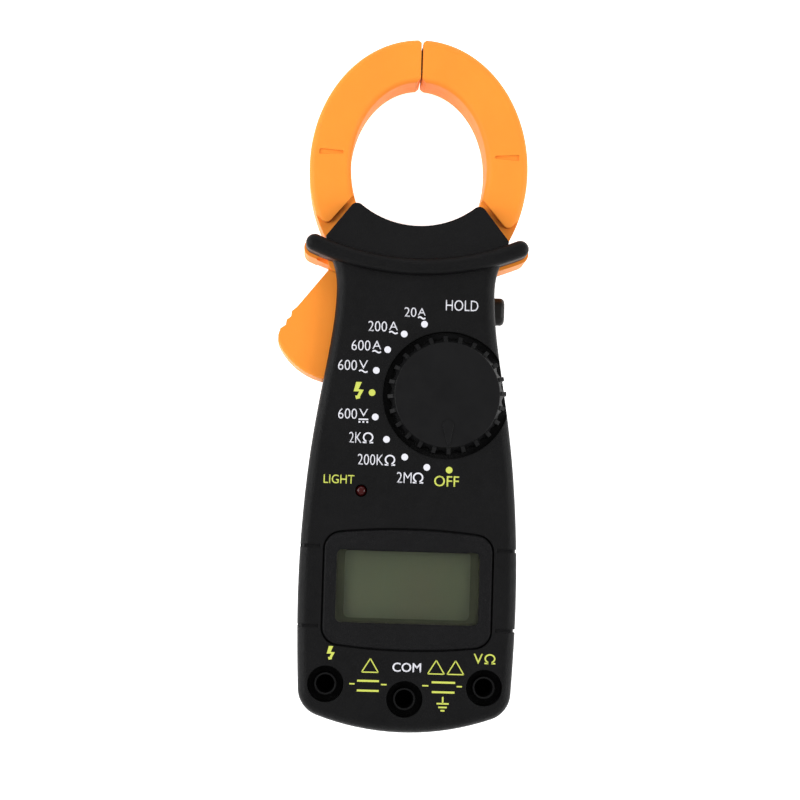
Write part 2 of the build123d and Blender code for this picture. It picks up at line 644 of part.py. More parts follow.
# ----------------------------------------------------------------- hold button
with BuildPart() as hold_button:
    with BuildSketch(Plane.YZ.offset(16.6)):
        with Locations((HOLD_Y, Z_PART)):
            SlotOverall(HOLD_LEN, HOLD_W)
    extrude(amount=23.0 - 16.6)
    fillet(hold_button.faces().sort_by(Axis.X)[-1].edges(), 1.1)
    with BuildSketch(Plane.YZ.offset(16.2)):
        with Locations((HOLD_Y, Z_PART)):
            SlotOverall(HOLD_LEN + 1.6, HOLD_W + 0.8)
    extrude(amount=0.9)
    with Locations(Location((15.4, HOLD_Y, Z_PART), (0, 90, 0))):
        Cylinder(0.9, 2.2)
save(hold_button.part, "hold_button")

with BuildPart() as hold_switch:
    centred_box(11.0, 14.9, HOLD_Y - 2.2, HOLD_Y + 2.2, Z_PART - 2.0, PCB_BOT)
    with Locations(Location((14.3, HOLD_Y, Z_PART), (0, 90, 0))):
        Cylinder(0.97, 2.4, mode=Mode.SUBTRACT)
    centred_box(11.0, 13.2, HOLD_Y - 3.4, HOLD_Y + 2.2, PCB_BOT - 1.4, PCB_BOT)
save(hold_switch.part, "hold_switch")

# ------------------------------------------------------------------------ jaws
JAW_SIDE = {"moving": -1, "fixed": 1}


def jaw_half(name):
    """The side of the ring that one jaw keeps, bevelled at its tip."""
    with BuildSketch() as s:
        if name == "moving":
            add(moving_side(TIP_GAP))
        else:
            with Locations((TIP_GAP, 53.5)):
                Rectangle(80, 200, align=(Align.MIN, Align.MIN))
            with Locations((0, 50)):
                Rectangle(23.2, 30, align=(Align.CENTER, Align.MIN), mode=Mode.SUBTRACT)
        with Locations((0, JAW_Y + JAW_B), (0, JAW_Y + EYE_B)):
            Rectangle(1.6, 1.6, rotation=45, mode=Mode.SUBTRACT)
    return s.sketch


def jaw_foot(name):
    """Plan of the foot behind the guard ridge and of its anchorage in the case."""
    with BuildSketch() as s:
        add(ridge_end(JAW_SIDE[name], FOOT_W))
        if name == "moving":
            with Locations(PIVOT):
                Circle(HUB_R)
            with Locations(Location((-19.8, 51.5, 0), (0, 0, 95))):
                Rectangle(14, 3.6)
        else:
            with BuildLine():
                Polyline((11.6, 65.0), (11.6, 54.0), (17.9, 53.6), (17.9, 57.4), (24, 58.6), (23, 64),
                         close=True)
            make_face()
    return s.sketch


def marker(side):
    with BuildSketch() as s:
        with BuildLine():
            Polyline((side * 19.2, 85.2), (side * 25.2, 84.8), (side * 25.2, 86.2), (side * 19.2, 85.8),
                     close=True)
        make_face()
        fillet(s.vertices(), 0.25)
    return s.sketch


def jaw_shell(name, front):
    side = JAW_SIDE[name]
    top = JAW_TOP if front else Z_PART
    bottom = Z_PART if front else JAW_BOT
    with BuildPart() as shell:
        with BuildSketch(Plane.XY.offset(bottom)):
            add(jaw_ring())
        extrude(amount=top - bottom)
        fillet(shell.faces().sort_by(Axis.Z)[-1 if front else 0].edges(), JAW_ROUND)
        with BuildSketch(Plane.XY.offset(bottom)):
            add(jaw_half(name))
        extrude(amount=top - bottom, mode=Mode.INTERSECT)
        with BuildSketch(Plane.XY.offset(bottom)):
            add(jaw_foot(name))
        extrude(amount=top - bottom)
        if name == "moving":
            rod(*PIVOT, 0, 30, PIVOT_R + RUN_FIT, mode=Mode.SUBTRACT)
        # sunk foot
        with BuildSketch(Plane.XY.offset(NECK_TOP if front else JAW_BOT - 1)):
            add(step_region(side))
        extrude(amount=(JAW_TOP - NECK_TOP + 1) if front else (NECK_BOT - JAW_BOT + 1), mode=Mode.SUBTRACT)
        # alignment mark
        with BuildSketch(Plane.XY.offset(JAW_TOP - 0.4 if front else JAW_BOT - 0.6)):
            add(marker(side))
        extrude(amount=1, mode=Mode.SUBTRACT)
        # room for the core
        with BuildSketch(Plane.XY.offset(Z_PART if front else CORE_BOT - 0.3)):
            add(core_room)
        extrude(amount=(CORE_TOP + 0.3 - Z_PART) if front else (Z_PART - CORE_BOT + 0.3), mode=Mode.SUBTRACT)
        if name == "moving":
            # the tongue is thinner than the foot so that the trigger wraps it
            with BuildSketch(Plane.XY.offset(CORE_TOP if front else 0)):
                with Locations(Location((-19.8, 51.5, 0), (0, 0, 95))):
                    Rectangle(15, 9)
                with Locations(PIVOT):
                    Circle(HUB_R + 0.1, mode=Mode.SUBTRACT)
            extrude(amount=10 if front else CORE_BOT, mode=Mode.SUBTRACT)
            screws = (JAW_SCREWS[0], JAW_SCREWS[2])
        else:
            screws = (JAW_SCREWS[1],)
            rod(*CASE_SCREWS[4], 0, 30, 1.25, mode=Mode.SUBTRACT)
        for x, y in screws:
            rod(x, y, 0, 17.0, 0.8, mode=Mode.SUBTRACT)
        if not front:
            for x, y in screws[:1]:
                rod(x, y, 0, NECK_BOT + 1.2, 1.5, mode=Mode.SUBTRACT)
    return shell.part


save(jaw_shell("moving", True), "moving_jaw_front")
save(jaw_shell("moving", False), "moving_jaw_rear")
save(jaw_shell("fixed", True), "fixed_jaw_front")
save(jaw_shell("fixed", False), "fixed_jaw_rear")

with BuildPart() as moving_core:
    with BuildSketch(Plane.XY.offset(CORE_BOT)):
        add(core_ring)
        add(moving_side(0.06), mode=Mode.INTERSECT)
    extrude(amount=CORE_TOP - CORE_BOT)
save(moving_core.part, "moving_core")

with BuildPart() as fixed_core:
    with BuildSketch(Plane.XY.offset(CORE_BOT)):
        add(core_ring)
        add(moving_side(-0.06), mode=Mode.SUBTRACT)
        with Locations((0, BAR_Y)):
            Rectangle(20, CORE_W)
        with Locations((0, BAR_Y + CORE_W / 2)):
            Rectangle(17, 12, align=(Align.CENTER, Align.MIN), mode=Mode.SUBTRACT)
    extrude(amount=CORE_TOP - CORE_BOT)
save(fixed_core.part, "fixed_core")

with BuildPart() as pivot_pin:
    rod(*PIVOT, 3.0, 24.2, PIVOT_R)
    chamfer(pivot_pin.edges(), 0.2)
save(pivot_pin.part, "pivot_pin")


def jaw_screw(x, y):
    seat = NECK_BOT + 1.2
    rod(x, y, seat - 1.0, seat, 1.45)
    rod(x, y, seat - 0.1, 16.8, 0.8)
    centred_box(x - 1, x + 1, y - 0.2, y + 0.2, 5, seat - 0.5, mode=Mode.SUBTRACT)
    centred_box(x - 0.2, x + 0.2, y - 1, y + 1, 5, seat - 0.5, mode=Mode.SUBTRACT)


with BuildPart() as moving_jaw_screws:
    jaw_screw(*JAW_SCREWS[0])
    jaw_screw(*JAW_SCREWS[2])
save(moving_jaw_screws.part, "moving_jaw_screws")

with BuildPart() as fixed_jaw_screw:
    jaw_screw(*JAW_SCREWS[1])
save(fixed_jaw_screw.part, "fixed_jaw_screw")

# --------------------------------------------------------------------- trigger
with BuildSketch() as trigger_sk:
    with BuildLine():
        Polyline((-21.9, 55.7), (-29.6, 46.0), (-30.9, 44.9), (-31.0, 43.6), (-32.1, 42.7), (-32.3, 41.4),
                 (-33.6, 40.5), (-34.1, 38.8), (-34.1, 37.2))
        ThreePointArc((-34.1, 37.2), (-29.9, 31.7), (-22.9, 28.1))
        Polyline((-22.9, 28.1), (-21.5, 28.2), (-18.2, 48.0), (-18.0, 54.3), (-21.9, 55.7))
    make_face()
trigger_outline = trigger_sk.sketch

with BuildPart() as trigger:
    with BuildSketch(Plane.XY.offset(NECK_BOT)):
        add(trigger_outline)
        with Locations(PIVOT):
            Circle(HUB_R + 0.2, mode=Mode.SUBTRACT)
    extrude(amount=NECK_TOP - NECK_BOT)
    outer = [e for e in trigger.edges().filter_by(GeomType.CIRCLE) if e.length > 10]
    fillet(outer, 0.8)
    with BuildSketch(Plane.XY.offset(CORE_BOT)):
        add(trigger_outline)
        offset(amount=-1.8)
        with BuildLine():
            Polyline((-24, 51), (-25, 30.6), (-10, 30.6), (-10, 60), (-21.0, 60), (-21.9, 53.5), close=True)
        make_face()
    extrude(amount=CORE_TOP - CORE_BOT, mode=Mode.SUBTRACT)
    rod(*JAW_SCREWS[2], 0, 12, 0.85, mode=Mode.SUBTRACT)
    rod(*JAW_SCREWS[2], 0, NECK_BOT + 1.2, 1.5, mode=Mode.SUBTRACT)
save(trigger.part, "trigger")

SPRING_Y = 39.6
with BuildPart() as jaw_spring:
    coil((-31.0, SPRING_Y, Z_PART), (1, 0, 0), 21.0, 3.0, 0.7, 8)
save(jaw_spring.part, "jaw_spring")

# ------------------------------------------------------------------------ coil
with BuildPart() as coil_bobbin:
    centred_box(-8, 8, BAR_Y - 3.8, BAR_Y + 3.8, CORE_BOT - 1, CORE_TOP + 1)
    for x in (-7.4, 7.4):
        centred_box(x - 0.6, x + 0.6, BAR_Y - 5.4, BAR_Y + 5.0, 5.9, 20.1)
    centred_box(-9, 9, BAR_Y - 2.9, BAR_Y + 2.9, CORE_BOT - 0.1, CORE_TOP + 0.1, mode=Mode.SUBTRACT)
save(coil_bobbin.part, "coil_bobbin")

with BuildPart() as coil_winding:
    centred_box(-6.8, 6.8, BAR_Y - 4.9, BAR_Y + 4.6, 6.6, 19.4)
    fillet(coil_winding.edges().filter_by(Axis.X), 1.2)
    centred_box(-9, 9, BAR_Y - 3.8, BAR_Y + 3.8, CORE_BOT - 1, CORE_TOP + 1, mode=Mode.SUBTRACT)
save(coil_winding.part, "coil_winding")

with BuildPart() as coil_leads:
    for x in (-4.5, 0.5):
        with BuildLine() as lead:
            Spline((x, BAR_Y - 4.9, 11), (x + 0.4, 47.5, 12), (x + 0.8, 44.4, PCB_BOT),
                   tangents=((0, -1, 0), (0, 0, 1)))
        with BuildSketch(Plane(origin=lead.line @ 0, z_dir=lead.line % 0)):
            Circle(0.4)
        sweep(path=lead.line)
save(coil_leads.part, "coil_leads")
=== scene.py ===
"""Looks for the clamp meter: materials, printed legends, floor, lights and camera."""

import json
import math

import bmesh
import bpy
from mathutils import Euler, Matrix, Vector


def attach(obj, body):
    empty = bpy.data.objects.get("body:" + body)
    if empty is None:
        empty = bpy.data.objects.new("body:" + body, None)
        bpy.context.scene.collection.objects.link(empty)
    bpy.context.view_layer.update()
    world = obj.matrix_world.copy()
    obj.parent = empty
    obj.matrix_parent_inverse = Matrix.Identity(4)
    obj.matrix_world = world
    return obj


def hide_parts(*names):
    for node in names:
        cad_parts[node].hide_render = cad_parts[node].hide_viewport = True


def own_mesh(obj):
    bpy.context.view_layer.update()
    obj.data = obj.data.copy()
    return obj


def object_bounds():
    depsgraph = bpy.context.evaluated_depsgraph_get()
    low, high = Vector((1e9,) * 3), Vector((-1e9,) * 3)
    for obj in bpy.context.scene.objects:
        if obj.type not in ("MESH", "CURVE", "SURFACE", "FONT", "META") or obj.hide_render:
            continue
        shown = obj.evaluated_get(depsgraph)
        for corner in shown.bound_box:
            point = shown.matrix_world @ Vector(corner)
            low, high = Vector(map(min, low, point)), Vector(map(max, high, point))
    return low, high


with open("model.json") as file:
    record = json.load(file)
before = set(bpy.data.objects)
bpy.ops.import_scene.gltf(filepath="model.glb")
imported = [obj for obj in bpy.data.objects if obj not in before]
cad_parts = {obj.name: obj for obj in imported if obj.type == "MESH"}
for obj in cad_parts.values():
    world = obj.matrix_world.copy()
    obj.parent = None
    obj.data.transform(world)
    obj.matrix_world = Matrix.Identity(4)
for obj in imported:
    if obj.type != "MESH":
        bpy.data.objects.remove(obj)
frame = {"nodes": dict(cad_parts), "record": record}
cad_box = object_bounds()
nodes = frame["nodes"]
MM = 0.001

# ------------------------------------------------------------------ placement
# lengths in mm, angles in degrees
FACE_Z = 25.0
DIAL = (8.35, 24.5)
DOT_R = 18.6
DOT_SIZE = 0.84
DOT_DEG = (109.0, 126.4, 144.0, 162.3, 179.7, 198.6, 217.9, 237.4, 256.1, 273.4)
YELLOW_DOTS = (4, 9)

# ink on the face: thickness, gap under it, and widths of drawn lines
INK = 0.05
LIFT = 0.004
LINE = 0.36
DC_DASH_LINE = 0.42
DASH_LINE = 0.35
BAR_LINE = 0.5
EARTH_LINE = 0.4
TRIANGLE_LINE = 0.28

# weight of lettering
THIN = -0.006
MEDIUM = 0.004
HEAVY = 0.006
BOLD = 0.012

DASH_Y = -47.4
EARTH_X = 9.45
# height of the painted shadow ring behind the window's edges
SHADOW_RING_Z = 23.42


# ------------------------------------------------------------------ materials
def new_material(name):
    mat = bpy.data.materials.new(name)
    mat.use_nodes = True
    tree = mat.node_tree
    return mat, tree, tree.nodes["Principled BSDF"]


def noise(tree, size_mm, detail=2.0, stretch=(1, 1, 1)):
    """Noise in the row frame whose features are about size_mm across."""
    coords = tree.nodes.new("ShaderNodeTexCoord")
    mapping = tree.nodes.new("ShaderNodeMapping")
    mapping.inputs["Scale"].default_value = stretch
    tex = tree.nodes.new("ShaderNodeTexNoise")
    tex.inputs["Scale"].default_value = 1000.0 / size_mm
    tex.inputs["Detail"].default_value = detail
    tree.links.new(coords.outputs["Object"], mapping.inputs["Vector"])
    tree.links.new(mapping.outputs["Vector"], tex.inputs["Vector"])
    return tex


def spread(tree, source, low, high, from_low=0.3, from_high=0.7):
    """Maps a noise value to the range low..high."""
    node = tree.nodes.new("ShaderNodeMapRange")
    node.inputs["From Min"].default_value = from_low
    node.inputs["From Max"].default_value = from_high
    node.inputs["To Min"].default_value = low
    node.inputs["To Max"].default_value = high
    tree.links.new(source, node.inputs["Value"])
    return node.outputs["Result"]


def two_tone(tree, factor, a, b):
    mix = tree.nodes.new("ShaderNodeMix")
    mix.data_type = "RGBA"
    mix.inputs["A"].default_value = (*a, 1)
    mix.inputs["B"].default_value = (*b, 1)
    tree.links.new(factor, mix.inputs["Factor"])
    return mix.outputs["Result"]


def bumped(tree, height, depth_mm, strength=1.0, edge_mm=0.0):
    bump = tree.nodes.new("ShaderNodeBump")
    bump.inputs["Strength"].default_value = strength
    bump.inputs["Distance"].default_value = depth_mm * MM
    tree.links.new(height, bump.inputs["Height"])
    if edge_mm:
        bevel = tree.nodes.new("ShaderNodeBevel")
        bevel.samples = 4
        bevel.inputs["Radius"].default_value = edge_mm * MM
        tree.links.new(bevel.outputs["Normal"], bump.inputs["Normal"])
    return bump.outputs["Normal"]


def moulded(name, colour, rough, specular, grain_mm, depth_mm, mottle=0.12, edge_mm=0.25, soft=0.0):
    """Injection-moulded plastic: fine spark-eroded grain, faint flow mottle, softened edges."""
    mat, tree, bsdf = new_material(name)
    flow = noise(tree, 9.0, 3.0, (1, 0.6, 1))
    lighter = tuple(min(1.0, c * (1 + mottle)) for c in colour)
    darker = tuple(c * (1 - mottle) for c in colour)
    colour_out = two_tone(tree, spread(tree, flow.outputs["Fac"], 0, 1), darker, lighter)
    tree.links.new(colour_out, bsdf.inputs["Base Color"])
    patch = noise(tree, 2.2, 4.0)
    tree.links.new(spread(tree, patch.outputs["Fac"], rough - 0.05, rough + 0.06), bsdf.inputs["Roughness"])
    grain = noise(tree, grain_mm, 3.0)
    tree.links.new(bumped(tree, grain.outputs["Fac"], depth_mm, 1.0, edge_mm), bsdf.inputs["Normal"])
    bsdf.inputs["Specular IOR Level"].default_value = specular
    if soft:
        bsdf.inputs["Subsurface Weight"].default_value = soft
        bsdf.inputs["Subsurface Radius"].default_value = (1.0, 0.4, 0.12)
        bsdf.inputs["Subsurface Scale"].default_value = 1.2 * MM
    return mat


def metal(name, colour, rough, scratch_mm=0.3, stretch=(1, 12, 1)):
    """Bare metal with fine drawn scratches."""
    mat, tree, bsdf = new_material(name)
    lines = noise(tree, scratch_mm, 2.0, stretch)
    tone = two_tone(tree, spread(tree, lines.outputs["Fac"], 0, 1), tuple(c * 0.85 for c in colour), colour)
    tree.links.new(tone, bsdf.inputs["Base Color"])
    tree.links.new(spread(tree, lines.outputs["Fac"], rough - 0.08, rough + 0.1), bsdf.inputs["Roughness"])
    tree.links.new(bumped(tree, lines.outputs["Fac"], 0.01, 0.6, 0.1), bsdf.inputs["Normal"])
    bsdf.inputs["Metallic"].default_value = 1.0
    return mat


def window(name, colour, rough):
    """Clear window moulding with the faintest ripple."""
    mat, tree, bsdf = new_material(name)
    ripple = noise(tree, 14.0, 1.0)
    tree.links.new(bumped(tree, ripple.outputs["Fac"], 0.02, 0.5), bsdf.inputs["Normal"])
    tree.links.new(spread(tree, ripple.outputs["Fac"], rough, rough + 0.03), bsdf.inputs["Roughness"])
    bsdf.inputs["Base Color"].default_value = (*colour, 1)
    bsdf.inputs["Transmission Weight"].default_value = 1.0
    bsdf.inputs["IOR"].default_value = 1.33
    return mat


def lcd_glass():
    """Unlit reflective display: olive grey, a little darker towards the right, with a painted reflection: a
    brownish cloud towards its middle right.
    """
    mat, tree, bsdf = new_material("lcd_film")
    coords = tree.nodes.new("ShaderNodeTexCoord")
    split = tree.nodes.new("ShaderNodeSeparateXYZ")
    tree.links.new(coords.outputs["Object"], split.inputs["Vector"])
    across = spread(tree, split.outputs["X"], 0, 1, -0.017, 0.017)
    base = two_tone(tree, across, (0.106, 0.120, 0.070), (0.096, 0.108, 0.060))
    # painted reflection: a brownish cloud mixed over the display colour
    painted_reflection = noise(tree, 16.0, 1.0)
    mix = tree.nodes.new("ShaderNodeMix")
    mix.data_type = "RGBA"
    mix.inputs["B"].default_value = (0.106, 0.098, 0.060, 1)
    tree.links.new(base, mix.inputs["A"])
    tree.links.new(spread(tree, painted_reflection.outputs["Fac"], 0.0, 0.55, 0.45, 0.75), mix.inputs["Factor"])
    tree.links.new(mix.outputs["Result"], bsdf.inputs["Base Color"])
    film = noise(tree, 0.25, 2.0)
    tree.links.new(bumped(tree, film.outputs["Fac"], 0.004, 0.5), bsdf.inputs["Normal"])
    bsdf.inputs["Roughness"].default_value = 0.45
    bsdf.inputs["Specular IOR Level"].default_value = 0.1
    return mat


def printed(name, colour):
    """Pad-printed ink: matt, with slightly uneven cover."""
    mat, tree, bsdf = new_material(name)
    cover = noise(tree, 0.18, 2.0)
    tone = two_tone(tree, spread(tree, cover.outputs["Fac"], 0, 1), tuple(c * 0.82 for c in colour), colour)
    tree.links.new(tone, bsdf.inputs["Base Color"])
    tree.links.new(bumped(tree, cover.outputs["Fac"], 0.006, 0.6), bsdf.inputs["Normal"])
    bsdf.inputs["Roughness"].default_value = 0.6
    return mat


# colour, roughness, specular, grain size, grain depth, then mottle, edge and softness where not the usual
MOULDED = {
    "case_black": ((0.0042, 0.0042, 0.0045), 0.42, 0.12, 0.28, 0.11),
    "bezel_black": ((0.0038, 0.0038, 0.0043), 0.36, 0.13, 0.42, 0.24),
    "dial_black": ((0.0050, 0.0050, 0.0054), 0.46, 0.15, 0.25, 0.006, 0.12, 0.2),
    "button_black": ((0.010, 0.009, 0.008), 0.40, 0.25, 0.3, 0.010),
    "jaw_orange": ((0.93, 0.292, 0.036), 0.46, 0.12, 0.5, 0.006, 0.03, 0.35, 0.10),
    "white_plastic": ((0.62, 0.62, 0.58), 0.5, 0.4, 0.4, 0.01),
    "components": ((0.02, 0.02, 0.022), 0.5, 0.4, 0.2, 0.01),
    "pcb": ((0.01, 0.11, 0.04), 0.35, 0.5, 0.6, 0.01),
    "zebra": ((0.30, 0.25, 0.28), 0.7, 0.3, 0.2, 0.01),
    "cell": ((0.03, 0.05, 0.12), 0.3, 0.5, 0.8, 0.004),
    "copper": ((0.45, 0.14, 0.04), 0.4, 0.5, 0.25, 0.03),
    "wire_red": ((0.4, 0.02, 0.02), 0.45, 0.4, 0.3, 0.01),
    "label_grey": ((0.20, 0.20, 0.21), 0.38, 0.4, 0.35, 0.006, 0.05),
    "led_red": ((0.045, 0.0018, 0.002), 0.2, 0.35, 0.6, 0.002, 0.2, 0.15),
    # film_dark also colours the painted shadow ring behind the window's edges
    "film_dark": ((0.044, 0.048, 0.025), 0.5, 0.1, 0.5, 0.003),
}
# colour, roughness, then scratch size and direction where not the usual
METALS = {
    "steel": ((0.56, 0.55, 0.53), 0.32),
    "spring_steel": ((0.62, 0.61, 0.60), 0.24),
    "brass": ((0.50, 0.36, 0.14), 0.35),
    # near-black metal: painted shade of the deep socket wells
    "socket_painted_shade": ((0.005, 0.005, 0.005), 0.5),
    "core": ((0.16, 0.16, 0.17), 0.45, 0.35, (1, 1, 14)),
}
LOOKS = {name: moulded(name, *look) for name, look in MOULDED.items()}
LOOKS.update({name: metal(name, *look) for name, look in METALS.items()})
LOOKS["lens"] = window("lens", (0.93, 0.95, 0.93), 0.03)
LOOKS["lcd"] = lcd_glass()
INK_WHITE = printed("ink_white", (0.78, 0.78, 0.84))
INK_YELLOW = printed("ink_yellow", (0.60, 0.66, 0.10))

slot_of = {s["node"]: s["material_slot"] for s in frame["record"]["subparts"]}
for name, obj in nodes.items():
    # the socket contacts take the near-black metal as painted shade of their deep wells
    look = "socket_painted_shade" if name.startswith("input_socket") else slot_of[name]
    obj.data.materials.clear()
    obj.data.materials.append(LOOKS[look])

# a copy of the trigger spring rides with the case
spring = nodes["jaw_spring"].copy()
spring.data = nodes["jaw_spring"].data.copy()
spring.name = "return_spring"
bpy.context.scene.collection.objects.link(spring)
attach(spring, "case")
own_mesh(spring)
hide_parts("jaw_spring")


# ------------------------------------------------------------------- legends
def mesh_piece(name, bm, material, body="case"):
    mesh = bpy.data.meshes.new(name)
    bm.to_mesh(mesh)
    bm.free()
    obj = bpy.data.objects.new(name, mesh)
    bpy.context.scene.collection.objects.link(obj)
    mesh.materials.append(material)
    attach(obj, body)
    return obj


def flat_shape(bm, points, z=FACE_Z + LIFT, height=INK):
    """A thin raised shape from an outline in mm, counter-clockwise."""
    low = [bm.verts.new((x * MM, y * MM, z * MM)) for x, y in points]
    high = [bm.verts.new((x * MM, y * MM, (z + height) * MM)) for x, y in points]
    bm.faces.new(high)
    bm.faces.new(list(reversed(low)))
    n = len(points)
    for i in range(n):
        j = (i + 1) % n
        bm.faces.new((low[i], low[j], high[j], high[i]))


def stroke(points, width):
    """Outline of an open line of even width through the points."""
    left, right = [], []
    for i, p in enumerate(points):
        a = Vector(points[max(i - 1, 0)])
        b = Vector(points[min(i + 1, len(points) - 1)])
        along = (b - a).normalized()
        normal = Vector((-along.y, along.x)) * width / 2
        left.append(Vector(p) + normal)
        right.append(Vector(p) - normal)
    return [tuple(v) for v in right + left[::-1]]


def disc(bm, x, y, r, sides=28):
    flat_shape(bm, [(x + r * math.cos(2 * math.pi * k / sides), y + r * math.sin(2 * math.pi * k / sides))
                    for k in range(sides)])


def wave(x0, x1, y, amount, width):
    """Tilde under a unit."""
    steps = 14
    pts = []
    for k in range(steps + 1):
        t = k / steps
        pts.append((x0 + (x1 - x0) * t, y + amount * math.sin(2 * math.pi * t)))
    return stroke(pts, width)


def omega(x0, x1, y0, y1, width):
    """Ohm sign in a box: an open bow on two feet."""
    cx, rx = (x0 + x1) / 2, (x1 - x0) / 2 - width / 2
    ry = (y1 - y0) * 0.46 - width / 2
    cy = y1 - ry - width / 2
    foot = y0 + width / 2
    bow = []
    for k in range(29):
        a = math.radians(-62 + 304 * k / 28)
        bow.append((cx + rx * math.cos(a), cy + ry * math.sin(a)))
    bow = [(bow[0][0], foot)] + bow + [(bow[-1][0], foot)]
    inner = rx * math.cos(math.radians(62)) - width / 2
    return [stroke(bow, width), stroke([(cx + inner, foot), (x1, foot)], width),
            stroke([(x0, foot), (cx - inner, foot)], width)]


def lettering(name, text, x0, x1, y0, y1, material, weight=THIN):
    """Plain lettering fitted to a box on the front face, in mm."""
    curve = bpy.data.curves.new(name + "_font", "FONT")
    curve.body = text
    curve.offset = weight
    curve.resolution_u = 3
    obj = bpy.data.objects.new(name + "_tmp", curve)
    bpy.context.scene.collection.objects.link(obj)
    bpy.context.view_layer.update()
    mesh = bpy.data.meshes.new_from_object(obj.evaluated_get(bpy.context.evaluated_depsgraph_get()))
    bpy.data.objects.remove(obj)
    xs = [v.co.x for v in mesh.vertices]
    ys = [v.co.y for v in mesh.vertices]
    low_x, low_y = min(xs), min(ys)
    sx = (x1 - x0) / (max(xs) - low_x)
    sy = (y1 - y0) / (max(ys) - low_y)
    bm = bmesh.new()
    bm.from_mesh(mesh)
    bpy.data.meshes.remove(mesh)
    for v in bm.verts:
        v.co = Vector(((x0 + (v.co.x - low_x) * sx) * MM, (y0 + (v.co.y - low_y) * sy) * MM,
                       (FACE_Z + LIFT) * MM))
    grown = bmesh.ops.extrude_face_region(bm, geom=bm.faces[:])
    for v in grown["geom"]:
        if isinstance(v, bmesh.types.BMVert):
            v.co.z += INK * MM
    bmesh.ops.recalc_face_normals(bm, faces=bm.faces)
    return mesh_piece(name, bm, material)


def marks(name, shapes, material):
    bm = bmesh.new()
    for s in shapes:
        flat_shape(bm, s)
    bmesh.ops.recalc_face_normals(bm, faces=bm.faces)
    return mesh_piece(name, bm, material)


def unit_ac(name, letter, x0, x1, y0, y1):
    """A unit letter over a tilde."""
    lettering(name, letter, x0, x1, y0 + 0.95, y1, INK_WHITE)
    marks(name + "_tilde", [wave(x0 + 0.05, x1 - 0.05, y0 + 0.35, 0.24, LINE)], INK_WHITE)


def bolt(cx, cy, height):
    """Plain lightning flash."""
    h = height / 2
    return [(cx + x * h, cy + y * h) for x, y in (
        (-0.31, 1.0), (0.34, 1.0), (-0.01, 0.16), (0.59, 0.11), (0.19, -0.66), (0.19, -0.88), (-0.26, -1.0),
        (-0.39, -0.58), (-0.16, -0.58), (0.08, -0.09), (-0.58, -0.10))]


def rounded(x0, x1, y0, y1, r, steps=6):
    """Rectangle with round corners, counter-clockwise from its top right corner."""
    pts = []
    centres = ((x1 - r, y1 - r, 0), (x0 + r, y1 - r, 90), (x0 + r, y0 + r, 180), (x1 - r, y0 + r, 270))
    for cx, cy, start in centres:
        for k in range(steps + 1):
            a = math.radians(start + 90 * k / steps)
            pts.append((cx + r * math.cos(a), cy + r * math.sin(a)))
    return pts


# name, text, then the box that it fills: left, right, bottom and top
for name, text, *box in (
    ("legend_20", "20", -2.8, 0.2, 43.8, 46.2),
    ("legend_200", "200", -11.7, -7.0, 39.9, 42.5),
    ("legend_600a", "600", -15.7, -11.0, 35.0, 37.6),
    ("legend_600v", "600", -18.9, -14.2, 30.0, 32.6),
    ("legend_600dc", "600", -18.5, -13.8, 17.9, 20.5),
    ("unit_600dc", "V", -13.3, -11.1, 18.6, 20.5),
    ("legend_2k", "2K", -15.6, -12.5, 12.0, 14.7),
    ("legend_200k", "200K", -13.3, -6.9, 6.6, 9.3),
    ("legend_2m", "2M", -3.5, 0.2, 2.4, 5.1),
    ("legend_hold", "HOLD", 7.5, 15.6, 45.7, 48.4),
):
    lettering(name, text, *box, INK_WHITE)
lettering("legend_com", "COM", -3.2, 3.9, -44.2, -41.9, INK_WHITE, BOLD)
lettering("legend_off", "OFF", 5.8, 12.0, 1.8, 4.5, INK_YELLOW, HEAVY)
lettering("legend_light", "LIGHT", -21.6, -14.0, 1.8, 4.0, INK_YELLOW, MEDIUM)
lettering("legend_v", "V", 16.8, 19.1, -41.7, -39.2, INK_YELLOW, MEDIUM)

for name, letter, *box in (
    ("unit_20a", "A", 0.6, 2.5, 43.3, 46.1),
    ("unit_200a", "A", -6.5, -4.3, 39.4, 42.5),
    ("unit_600a", "A", -10.5, -8.3, 34.5, 37.6),
    ("unit_600v", "V", -13.7, -11.5, 29.5, 32.6),
):
    unit_ac(name, letter, *box)

for name, ink, *box in (
    ("ohm_2k", INK_WHITE, -12.2, -9.6, 12.0, 14.7),
    ("ohm_200k", INK_WHITE, -6.6, -4.0, 6.6, 9.3),
    ("ohm_2m", INK_WHITE, 0.5, 3.1, 2.4, 5.1),
    ("ohm_socket", INK_YELLOW, 19.5, 22.2, -41.7, -39.2),
):
    marks(name, omega(*box, LINE), ink)

# direct current: a line over three dashes
dc_lines = [stroke([(-13.4, 17.9), (-11.0, 17.9)], LINE)]
for x0, x1 in ((-13.4, -12.95), (-12.42, -11.98), (-11.45, -11.0)):
    dc_lines.append(stroke([(x0, 17.25), (x1, 17.25)], DC_DASH_LINE))
marks("unit_600dc_lines", dc_lines, INK_WHITE)

marks("flash_range", [bolt(-13.6, 25.0, 4.3)], INK_YELLOW)
marks("flash_socket", [bolt(-18.5, -40.0, 3.4)], INK_YELLOW)

# dots for the ten positions
bm_white, bm_yellow = bmesh.new(), bmesh.new()
for k, degrees in enumerate(DOT_DEG):
    a = math.radians(degrees)
    x, y = DIAL[0] + DOT_R * math.cos(a), DIAL[1] + DOT_R * math.sin(a)
    disc(bm_yellow if k in YELLOW_DOTS else bm_white, x, y, DOT_SIZE)
mesh_piece("range_dots_white", bm_white, INK_WHITE)
mesh_piece("range_dots_yellow", bm_yellow, INK_YELLOW)

